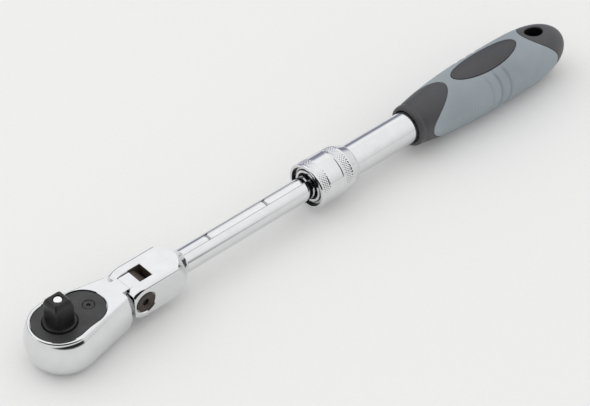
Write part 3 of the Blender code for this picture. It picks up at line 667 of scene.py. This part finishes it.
def make_drive():
    core = rounded([(JOURNAL_BOTTOM, JOURNAL_R - 1.0), (JOURNAL_BOTTOM, JOURNAL_R),
                    (0.0, JOURNAL_R), (0.0, BOSS_R), (BOSS_TOP - 0.6, BOSS_R),
                    (BOSS_TOP, BOSS_R - 0.7), (BOSS_TOP, BOSS_R - 1.5)], 0.25)
    bore = [(JOURNAL_BOTTOM - 2, BUTTON_R + 0.9), (JOURNAL_BOTTOM, BUTTON_R + 0.9),
            (JOURNAL_BOTTOM + 0.5, BUTTON_R + 0.4), (-6.0, BUTTON_R + 0.4), (-6.0, ROD_R + 0.25),
            (DRIVE_TIP - 0.25, ROD_R + 0.25), (DRIVE_TIP, ROD_R + 0.5), (DRIVE_TIP + 2, ROD_R + 0.5)]
    ball_hole = rod(0.5, 9.0, 2.15, "Y", (DETENT_BALL_Z, 0), 48)
    piece(prism(gear_outline(), GEAR_BOTTOM, GEAR_TOP), "square_drive_finished", "drive",
          [DRIVE_OXIDE], ["drive_gear"], [turned(bore, "Z", sides=80), ball_hole],
          joins=[turned(core, "Z", sides=128), square_drive()])
    stem = rounded([(-16.0, 0.8), (-16.0, 1.5), (-12.0, 1.5), (-12.0, ROD_R), (DRIVE_TIP - 0.6, ROD_R),
                    (DRIVE_TIP - 0.15, ROD_R - 0.5), (DRIVE_TIP - 0.1, 0.4)], 0.3)
    piece(turned(stem, "Z", sides=64), "release_rod_finished", "release", [BRIGHT_STEEL],
          ["release_rod"])


# ---------------------------------------------------------------- pivot, yoke and bar


def yoke_stock():
    """Square-sided yoke block whose ears end in a round nose; (x, half width, half height) stations."""
    nose_top = math.sqrt(YOKE_HALF_HEIGHT ** 2 - (PIVOT_X - EAR_FRONT_X - 0.9) ** 2)
    stations = []
    for step in range(9):
        t = math.radians(90 * step / 8)
        stations.append((EAR_FRONT_X + 0.9 * (1 - math.cos(t)),
                         YOKE_HALF_WIDTH - 1.5 * (1 - math.sin(t)),
                         nose_top - 2.4 * (1 - math.sin(t))))
    start = math.degrees(math.asin(nose_top / YOKE_HALF_HEIGHT))
    for step in range(1, 21):
        a = math.radians(mix(start, 90, step / 20))
        stations.append((PIVOT_X - YOKE_HALF_HEIGHT * math.cos(a), YOKE_HALF_WIDTH,
                         YOKE_HALF_HEIGHT * math.sin(a)))
    stations.append((YOKE_NECK[2] - 1.0, YOKE_HALF_WIDTH, YOKE_HALF_HEIGHT))
    rings = []
    for x, half_width, half_height in stations:
        rings.append([(x, y, z) for y, z in rounded_box(half_width, half_height, YOKE_EDGE_R)])
    return rings_mesh(rings)


def yoke_envelope():
    """Turned shape that the yoke is cut down to: a cone behind the slot and a fillet to the bar."""
    start, end, fillet_end = YOKE_NECK
    profile = [(30.0, 17.2), (start, 16.6)]
    for i in range(1, 9):
        t = i / 8
        profile.append((mix(start, end, t), mix(16.6, BAR_R + 1.5, t) + 0.3 * math.sin(math.pi * t)))
    for i in range(1, 13):
        t = math.sin(math.radians(90 * i / 12))
        profile.append((mix(end, fillet_end, t), mix(BAR_R - 0.6, BAR_R + 1.5, (1 - t) ** 1.3)))
    return turned(profile, "X", sides=160)


def keyway():
    """Round-ended groove with softened edges."""
    rings = []
    for z, grow in ((KEYWAY_FLOOR, -0.25), (6.75, 0.0), (7.05, 0.0), (7.5, 0.3), (12.0, 0.3)):
        w = KEYWAY_HALF_WIDTH + grow
        nose = arc(w, 90, 270, 24, (NOTCH_X, 0.0))
        rings.append([(x, y, z) for x, y in nose + [(BAR_END + 5, -w), (BAR_END + 5, w)]])
    return rings_mesh(rings)


def make_bar():
    half = YOKE_SLOT_HALF_WIDTH
    soft = 0.35
    recess = YOKE_HALF_WIDTH - 2.5
    notches = [NOTCH_X + NOTCH_PITCH * k for k in range(NOTCH_COUNT)]
    slot = []
    for z, grow in ((-20, soft), (-YOKE_HALF_HEIGHT, soft), (-YOKE_HALF_HEIGHT + soft, 0.0),
                    (YOKE_HALF_HEIGHT - soft, 0.0), (YOKE_HALF_HEIGHT, soft), (20, soft)):
        slot.append([(x, y, z) for x, y in ((30, -half - grow), (YOKE_SLOT_END + grow, -half - grow),
                                            (YOKE_SLOT_END + grow, half + grow), (30, half + grow))])
    rim = PIVOT_HEAD_R + 0.3
    near_seat = [(-20, rim + 0.5), (-YOKE_HALF_WIDTH, rim + 0.5), (-YOKE_HALF_WIDTH + 0.5, rim),
                 (-recess, rim)]
    far_seat = [(-y, r) for y, r in near_seat[::-1]]
    cuts = [rings_mesh(slot), rod(-20, 20, PIVOT_HOLE_R, "Y", (0, PIVOT_X)),
            turned(near_seat, "Y", (0, PIVOT_X), 80), turned(far_seat, "Y", (0, PIVOT_X), 80),
            rod(YOKE_SLOT_END - 1, YOKE_NECK[0], 2.2, "X", (0, 0), 40), keyway()]
    for x in notches:
        cuts.append(rod(-NOTCH_HALF_LENGTH, NOTCH_HALF_LENGTH, NOTCH_R, "Y", (NOTCH_Z, x), 40))
    spigot = BAR_END - 12
    bar = [(80.0, BAR_R), (spigot, BAR_R), (spigot, 5.5), (BAR_END - 2.6, 5.5), (BAR_END - 2.6, 4.8),
           (BAR_END - 1.2, 4.8), (BAR_END - 1.2, 5.5), (BAR_END, 5.0)]

    def finish_or_shade_of(c, _normal):
        """0 plated, 1 painted shade in the slot, 2 bare notch, 3 painted dark reflection in the fillet
        corner behind the yoke.
        """
        round_bar = math.degrees(math.atan2(abs(c.y), c.z))
        # Painted dark reflection: a near-black spot on the fillet corner behind the yoke, on both sides.
        if 83.0 < c.x < 89.0 and math.hypot(c.y, c.z) > BAR_R + 0.8 and 36.0 < round_bar < 62.0:
            return 3
        in_slot = SLOT_SHADE_X < c.x < YOKE_SLOT_END + 0.3 and abs(c.y) < half + 0.1
        if in_slot and c.z < YOKE_HALF_HEIGHT - 0.5:
            return 1
        in_notch = any(math.hypot(c.x - x, c.z - NOTCH_Z) < NOTCH_R + 0.05 for x in notches)
        return 2 if in_notch and abs(c.y) < NOTCH_HALF_LENGTH + 0.15 else 0

    piece(yoke_stock(), "yoke_and_bar", "bar", [CHROME, SLOT_SHADE_PAINT, NOTCH_STEEL, BORE_SHADE_PAINT],
          ["extension_bar"], cuts, keep_common=yoke_envelope(), joins=[turned(bar, "X", sides=128)],
          finish_or_shade_at=finish_or_shade_of, seam_x=SLOT_SHADE_X)

    face = -YOKE_HALF_WIDTH
    shank_r = PIVOT_HOLE_R - 0.15
    screw = [(face + 0.55, 1.4), (face + 0.55, 3.3), (face + 0.1, 3.7), (face + 0.1, 5.2),
             (face + 0.35, 5.5), (face, 5.8), (face, PIVOT_HEAD_R - 0.1),
             (-recess - 0.3, PIVOT_HEAD_R - 0.1), (-recess - 0.3, shank_r), (11.4, shank_r)]
    socket = [(z, PIVOT_X + x) for x, z in hexagon(PIVOT_SOCKET_R)]
    piece(turned(rounded(screw, 0.2), "Y", (0, PIVOT_X), 80), "pivot_screw_finished", "bar",
          [SCREW_OXIDE], ["pivot_screw"], [prism(socket, -20, face + 2.2, "Y")])


# ---------------------------------------------------------------- tube and locking collar


def knurl(x, angle, start, end, depth):
    """Depth of a diamond knurl at a point of a turned surface."""
    if not start < x < end:
        return 0.0
    edge = min(x - start, end - x)
    fade = smooth(edge / 0.5)
    lead = x / 15.0
    left = abs(math.sin(KNURL_CUTS * (angle + lead) / 2))
    right = abs(math.sin(KNURL_CUTS * (angle - lead) / 2))
    return depth * fade * (1 - min(left, right))


def make_collar():
    groove = COLLAR_GROOVE_X
    sides = 384
    knurl_step = 0.28
    front = COLLAR_START
    outer = [(front + 0.5, COLLAR_R)]
    x = FRONT_KNURL[0] - 0.2
    while x < groove - 0.7:
        outer.append((x, COLLAR_R))
        x += knurl_step if x < FRONT_KNURL[1] + 0.6 else 0.9
    outer += [(groove - 0.5, COLLAR_R), (groove - 0.25, COLLAR_R - 0.45), (groove, COLLAR_R - 0.6),
              (groove + 0.35, COLLAR_R - 0.55), (groove + 0.6, COLLAR_R - 0.2)]
    x = groove + 1.0
    while x < REAR_KNURL[1]:
        outer.append((x, mix(COLLAR_R - 0.2, COLLAR_REAR_R, (x - groove) / 7.8)))
        x += knurl_step
    outer += rounded([(REAR_KNURL[1] + 0.1, COLLAR_REAR_R), (COLLAR_TAPER_X, COLLAR_REAR_R),
                      (COLLAR_END - 0.8, 12.3), (COLLAR_END, 11.7), (COLLAR_END, TUBE_R + 0.4)], 0.5)
    inner = [(COLLAR_END - 0.2, TUBE_R + 0.25), (COLLAR_END - 3.0, TUBE_R + 0.25),
             (COLLAR_END - 3.0, COLLAR_BORE_R), (front + 1.2, COLLAR_BORE_R), (front + 0.1, 13.25),
             (front, 13.4), (front, 14.75), (front + 0.15, 15.0)]
    rings = []
    for x, r in outer + inner:
        ring = []
        for i in range(sides):
            a = 2 * math.pi * i / sides
            cut = 0.0
            if r > COLLAR_REAR_R - 0.05:
                cut = knurl(x, a, *FRONT_KNURL) + knurl(x, a, *REAR_KNURL)
            ring.append((x, (r - cut) * math.cos(a), (r - cut) * math.sin(a)))
        rings.append(ring)

    def in_bore(c, _normal):
        # Painted shade: the inside of the collar's mouth is near black.
        return math.hypot(c.y, c.z) < 13.3 and c.x < COLLAR_END - 6.0

    piece(rings_mesh(rings, close=True), "knurled_collar", "collar", [CHROME, BORE_SHADE_PAINT],
          ["lock_collar"], sharp=50.0, finish_or_shade_at=in_bore)


def make_ring():
    """Split ring of round-edged wire in the mouth of the collar."""
    half_gap = 13
    gap_at = 140
    steps = 90
    section = rounded_box(0.95, 0.6, 0.5, 4)
    rings = []
    for i in range(steps + 1):
        a = math.radians(gap_at + half_gap + (360 - 2 * half_gap) * i / steps)
        ring = []
        for dr, dx in section:
            r = RING_MEAN_R + dr
            ring.append((COLLAR_START + 1.6 + dx, r * math.cos(a), r * math.sin(a)))
        rings.append(ring)
    piece(rings_mesh(rings), "retaining_ring_finished", "handle", [RING_STEEL],
          ["retaining_ring"])


def make_tube():
    groove_start, groove_end = RING_GROOVE
    groove_r, bore_r, neck_r = 9.9, 8.9, 7.9
    profile = [(TUBE_START, neck_r + 0.5), (TUBE_START, TUBE_R - 0.5), (TUBE_START + 0.5, TUBE_R),
               (groove_start, TUBE_R), (groove_start, groove_r), (groove_end, groove_r),
               (groove_end, TUBE_R), (TUBE_END, TUBE_R), (TUBE_END, bore_r),
               (TUBE_NECK_END, bore_r), (TUBE_NECK_END, neck_r), (TUBE_START + 0.5, neck_r)]

    def in_mouth(c, _normal):
        # Painted shade: the inside of the tube's mouth is near black.
        return c.x < TUBE_NECK_END and math.hypot(c.y, c.z) < TUBE_R - 0.15

    ball_hole = rod(5.0, 14.0, 2.55, "Z", (LOCK_BALL_X, 0), 40)
    piece(turned(rounded_loop(profile, 0.15), "X", sides=128, hollow=True), "tube_finished", "handle",
          [CHROME, BORE_SHADE_PAINT], ["outer_tube"], [ball_hole], finish_or_shade_at=in_mouth)


# ---------------------------------------------------------------- grip


def grip_radius(x):
    """Swells from the nose to its widest place and closes in a round tail."""
    widest = 352.0
    if x < widest:
        t = (widest - x) / (widest - GRIP_START)
        return GRIP_R - 6.6 * t ** 2.6
    t = min((x - widest) / (GRIP_END - widest), 1.0)
    return GRIP_R * (1 - t ** 3.4) ** 0.5


def nose_edge(angle):
    """Where the hard nose ends and the soft grip starts, further back on the top and underside."""
    return 282.0 + 22.5 * abs(math.cos(angle)) ** 2.2


def tail_edge(angle):
    """Where the soft grip ends and the hard tail starts, further forward on the top."""
    across = math.cos(angle)
    return 395.0 - 19.6 * (across ** 2 if across > 0 else across ** 6)


def degrees_from_top(angle):
    return math.degrees(abs(math.atan2(math.sin(angle), math.cos(angle))))


def side_groove(x, angle):
    """Depth of the bowed finger grooves on the flanks."""
    side = degrees_from_top(angle)
    reach = smooth((side - 28.0) / 14.0) * smooth((128.0 - side) / 22.0)
    if reach <= 0:
        return 0.0
    depth = 0.0
    bow = 3.4 * (1 - ((side - 78.0) / 50.0) ** 2)
    for centre, deep in FINGER_GROOVES:
        d = x - (centre + bow)
        step = math.exp(-(d / 0.75) ** 2) + 0.55 * smooth((d + 4.0) / 4.0) * smooth(-d / 0.6 + 0.5)
        depth += deep * step
    return depth * reach


def fine_ribs(x, angle):
    """Shallow anti-slip ribs low on the flanks behind the nose."""
    side = degrees_from_top(angle)
    reach = smooth((side - 62.0) / 14.0) * smooth((150.0 - side) / 20.0)
    along = smooth((x - nose_edge(angle) - 3.0) / 4.0) * smooth((322.0 - x) / 6.0)
    return 0.30 * reach * along * (0.5 + 0.5 * math.cos(2 * math.pi * x / 2.6))


def grip_point(x, angle, depth, detail=False):
    """Point at a depth under the grip's surface; detail adds the grooves and ribs."""
    r = grip_radius(x) - depth
    if detail:
        r -= side_groove(x, angle) + fine_ribs(x, angle)
    return (x, r * math.sin(angle), r * math.cos(angle))


def surface_height(x, y):
    return math.sqrt(max(grip_radius(x) ** 2 - y * y, 0.0))


def hang_hole():
    """Cutter for the hanging hole, flared to a soft lip where it meets the grip's surface."""
    count = 64
    rings = []
    for side in (-1, 1):
        levels = ((3.0, 0.0), (1.1, 0.0), (0.55, 0.12), (0.22, 0.42), (0.03, 0.9), (-1.5, 2.2))
        for below, grow in levels if side > 0 else levels[::-1]:
            ring = []
            for i in range(count):
                a = 2 * math.pi * i / count
                x = HANG_HOLE_X + (HANG_HOLE_HALF_LENGTH + grow) * math.cos(a)
                y = (HANG_HOLE_HALF_WIDTH + grow) * math.sin(a)
                ring.append((x, y, side * (surface_height(x, y) - below)))
            rings.append(ring)
    return rings_mesh(rings)


def make_grip():
    sides = 144
    angles = [2 * math.pi * i / sides for i in range(sides)]
    depth = OVERMOLD_DEPTH + 0.3
    bore_r = TUBE_R + 0.3
    rings = [[(x, bore_r * math.sin(a), bore_r * math.cos(a)) for a in angles]
             for x in (TUBE_END + 0.6, GRIP_START + 2.2)]
    lip = rounded([(GRIP_START + 2.0, 2.0), (GRIP_START + 0.1, 1.7), (GRIP_START, -0.5),
                   (GRIP_START + 3.0, -0.55), (GRIP_START + 4.4, 0.2), (GRIP_START + 6.6, 0.0)], 0.9)
    for x, below in lip[1:]:
        rings.append([grip_point(x, a, below) for a in angles])
    x0 = lip[-1][0]
    rows = 16
    edge = 0.4
    for i in range(1, rows + 1):
        rings.append([grip_point(mix(x0, nose_edge(a) - edge, i / rows), a, 0.0) for a in angles])
    rings.append([grip_point(nose_edge(a) - 0.1, a, 0.12) for a in angles])
    rings.append([grip_point(nose_edge(a), a, 0.45) for a in angles])
    for i in range(5):
        rings.append([grip_point(mix(nose_edge(a), tail_edge(a), i / 4), a, depth) for a in angles])
    rings.append([grip_point(tail_edge(a), a, 0.45) for a in angles])
    rings.append([grip_point(tail_edge(a) + 0.1, a, 0.12) for a in angles])
    for i in range(rows + 1):
        rings.append([grip_point(mix(tail_edge(a) + edge, ROUND_END_X, i / rows), a, 0.0)
                      for a in angles])
    for step in range(1, 25):
        x = mix(ROUND_END_X, GRIP_END - 0.05, math.sin(math.radians(90 * step / 24)))
        rings.append([grip_point(x, a, 0.0) for a in angles])

    def in_hole(c, _normal):
        # Painted shade: the walls of the hanging hole are near black.
        u = (c.x - HANG_HOLE_X) / HANG_HOLE_HALF_LENGTH
        v = c.y / HANG_HOLE_HALF_WIDTH
        return math.hypot(u, v) < 1.05 and abs(c.z) < surface_height(c.x, c.y) - 1.0

    piece(rings_mesh(rings), "grip_nose_and_tail", "handle", [BLACK_PLASTIC, BORE_SHADE_PAINT],
          ["grip_core"], [hang_hole()], finish_or_shade_at=in_hole)

    gap = 0.3
    along = 260
    rings = []
    for i in range(along + 1):
        t = i / along
        rings.append([grip_point(mix(nose_edge(a) + gap + 0.3, tail_edge(a) - gap - 0.3, t), a,
                                 0.0, True) for a in angles])
    for edge_of, sign in ((tail_edge, -1), (nose_edge, 1)):
        rims = [(0.08, 0.1), (0.0, 0.35), (0.0, OVERMOLD_DEPTH)]
        for back, below in rims if sign < 0 else rims[::-1]:
            rings.append([grip_point(edge_of(a) + sign * (gap + back), a, below) for a in angles])
    badge_recess = badge_patch([(-3.0, 0.9), (-0.02, 0.75), (0.25, 0.35), (1.2, 0.35)])
    piece(rings_mesh(rings, close=True), "soft_overmould", "handle", [GREY_GRIP],
          ["grip_overmold"], [badge_recess])
    bead = [(0.85, 0.0), (0.1, 0.0), (-0.12, -0.12), (-0.22, -0.45), (-0.12, -0.85), (0.08, -1.05),
            (0.1, -1.6)]
    piece(badge_patch(bead, 0.1), "grip_badge_finished", "handle", [BADGE_PLASTIC],
          ["grip_badge"])


def badge_patch(levels, crown=None, around=96):
    """Oval patch that follows the top of the grip; levels are (depth below the surface, growth)."""
    def point(a, share, below, grow):
        u = share * math.cos(a)
        v = share * math.sin(a)
        x = BADGE_X + u * (BADGE_HALF_LENGTH + grow)
        y = v * (BADGE_HALF_WIDTH + grow)
        return (x, y, surface_height(x, y) - below)

    angles = [2 * math.pi * i / around for i in range(around)]
    first_below, first_grow = levels[0]
    last_below, last_grow = levels[-1]
    inner = (0.02, 0.25, 0.5, 0.75, 0.93)
    rings = [[point(a, share, first_below, first_grow) for a in angles] for share in inner]
    rings += [[point(a, 1.0, below, grow) for a in angles] for below, grow in levels]
    last = last_below if crown is None else crown
    rings += [[point(a, share, last, last_grow) for a in angles] for share in inner[::-1]]
    return rings_mesh(rings)


# ---------------------------------------------------------------- springs


def coil(start, end, mean_r, wire_r, turns, axis, steps=40, sides=12):
    """Round-wire spring between two seats; steps are per turn."""
    rings = []
    count = int(steps * turns)
    run = end - start - 2 * wire_r
    for i in range(count + 1):
        a = 2 * math.pi * turns * i / count
        along = start + wire_r + run * i / count
        ring = []
        for k in range(sides):
            b = 2 * math.pi * k / sides
            r = mean_r + wire_r * math.cos(b)
            ring.append(orient(axis, along + wire_r * math.sin(b), r * math.cos(a), r * math.sin(a)))
        rings.append(ring)
    return rings_mesh(rings)


def make_springs():
    """Coil springs between their seats, each riding on one body."""
    seat, rear = COLLAR_SPRING
    spring = piece(coil(seat, rear, 11.6, 0.7, 3.5, "X"), "collar_spring_finished", "handle",
                   [SPRING_STEEL], ["collar_spring"], sharp=60.0)
    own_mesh(spring)
    low, seat = RELEASE_SPRING
    spring = piece(coil(low, seat, 3.75, 0.5, 4, "Z"), "release_spring_finished", "drive",
                   [SPRING_STEEL], ["release_spring"], sharp=60.0)
    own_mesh(spring)


# ---------------------------------------------------------------- pieces kept from the CAD


def dress_cad_nodes():
    """Give each CAD node that stays its finished material."""
    looks = (
        (CHROME, ("release_button", "reverse_lever")),
        (BRIGHT_STEEL, ("detent_ball", "lock_ball")),
        (SCREW_OXIDE, ("pivot_nut",)),
        (BLACK_PLASTIC, ("tube_end_plug",)),
        (BRONZE, ("rear_bush", "guide_sleeve")),
        (SPRING_STEEL, ("plunger_spring", "flex_detent_spring", "bush_clip", "spring_stop_ring")),
        (GROUND_STEEL, ("pawl", "pawl_pin", "thrust_washer", "pawl_plunger", "flex_detent_ball",
                        "cam_sleeve")),
    )
    for mat, names in looks:
        for name in names:
            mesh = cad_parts[name].data
            mesh.materials.clear()
            mesh.materials.append(mat)


# ---------------------------------------------------------------- studio

NEAR_SIDE = (-0.668, -0.744, 0.0)
MIX_A, MIX_B, MIX_RESULT = 6, 7, 2  # the colour sockets of a Mix node, which share their names


def make_world():
    """Light tent seen in the polished parts, and an even pale canopy for everything else.

    The tent is bright overhead, has a thin dark line at the back horizon, and is open and dark on
    the near side.
    """
    world = bpy.data.worlds.new("light_tent")
    bpy.context.scene.world = world
    world.use_nodes = True
    tree = world.node_tree
    background = tree.nodes["Background"]

    def fill(socket, value):
        if hasattr(value, "is_output"):
            tree.links.new(value, socket)
        else:
            socket.default_value = value

    def node(kind, **inputs):
        made = tree.nodes.new(kind)
        for name, value in inputs.items():
            fill(made.inputs[name], value)
        return made

    def ramp(value, stops):
        made = node("ShaderNodeValToRGB", Fac=value)
        set_stops(made, stops)
        return made.outputs["Color"]

    def band(value, low, high):
        made = node("ShaderNodeMapRange", Value=value)
        made.inputs["From Min"].default_value = low
        made.inputs["From Max"].default_value = high
        return made.outputs["Result"]

    def blend(factor, a, b):
        made = node("ShaderNodeMix", Factor=factor)
        made.data_type = 'RGBA'
        fill(made.inputs[MIX_A], a)
        fill(made.inputs[MIX_B], b)
        return made.outputs[MIX_RESULT]

    coords = node("ShaderNodeTexCoord").outputs["Generated"]
    parts = node("ShaderNodeSeparateXYZ", Vector=coords)
    height = parts.outputs["Z"]
    towards = node("ShaderNodeVectorMath")
    towards.operation = 'DOT_PRODUCT'
    fill(towards.inputs[0], coords)
    fill(towards.inputs[1], NEAR_SIDE)
    facing = towards.outputs["Value"]
    far_wall = ramp(height, [(0.0, (0.24, 0.25, 0.31)), (0.20, (0.22, 0.23, 0.29)),
                             (0.38, (0.34, 0.35, 0.40)), (0.50, (0.88, 0.885, 0.90)),
                             (0.62, (0.94, 0.945, 0.95)), (1.0, grey(0.90))])
    near_wall = ramp(height, [(0.0, grey(0.55)), (0.05, grey(0.68)), (0.6, grey(0.86)),
                              (1.0, grey(0.90))])
    opening = ramp(height, [(0.0, grey(0.25)), (0.05, grey(0.015)), (0.86, grey(0.015)),
                            (0.97, grey(0.8))])
    back_wall = blend(band(parts.outputs["Y"], 0.30, 0.50), near_wall, far_wall)
    walls = blend(band(facing, -0.12, 0.02), back_wall, near_wall)
    tent = blend(band(facing, 0.31, 0.40), walls, opening)
    canopy = ramp(height, [(0.0, grey(0.74)), (0.5, grey(0.83)), (1.0, grey(0.91))])
    rays = node("ShaderNodeLightPath")
    mirrored = node("ShaderNodeMath")
    mirrored.operation = 'GREATER_THAN'
    fill(mirrored.inputs[0], rays.outputs["Is Glossy Ray"])
    fill(mirrored.inputs[1], rays.outputs["Diffuse Depth"])
    fill(background.inputs["Color"], blend(mirrored.outputs["Value"], canopy, tent))
    fill(background.inputs["Strength"], 1.2)


def make_lights():
    light = bpy.data.lights.new("overhead_softbox", 'AREA')
    light.shape = 'RECTANGLE'
    light.size = 1.1
    light.size_y = 0.7
    light.energy = 1.2
    lamp = bpy.data.objects.new("overhead_softbox", light)
    bpy.context.scene.collection.objects.link(lamp)
    lamp.visible_glossy = False
    lamp.location = (-0.55, 0.75, 1.15)
    lamp.rotation_euler = (-lamp.location).to_track_quat('-Z', 'Y').to_euler()


def make_floor():
    bm = bmesh.new()
    bmesh.ops.create_grid(bm, x_segments=8, y_segments=8, size=4.0)
    mesh = bpy.data.meshes.new("studio_floor")
    bm.to_mesh(mesh)
    bm.free()
    floor = bpy.data.objects.new("studio_floor", mesh)
    bpy.context.scene.collection.objects.link(floor)
    floor.location.z = -0.0002
    mesh.materials.append(FLOOR)


def make_camera():
    """Viewpoint fitted to the square drive, bar and grip sections."""
    data = bpy.data.cameras.new("camera")
    camera = bpy.data.objects.new("camera", data)
    bpy.context.scene.collection.objects.link(camera)
    data.lens = 130.36
    data.sensor_width = 36.0
    data.clip_end = 20.0
    camera.location = ORIGIN + Vector((-469.0, -719.5, 863.85)) * MM
    camera.rotation_euler = (math.radians(90 - 42.01), 0.0, math.radians(-41.96))
    bpy.context.scene.camera = camera


make_camera()
make_world()
make_lights()
make_floor()
make_head()
make_drive()
make_bar()
make_collar()
make_ring()
make_tube()
make_grip()
make_springs()
dress_cad_nodes()
bpy.context.scene.view_settings.view_transform = 'Standard'
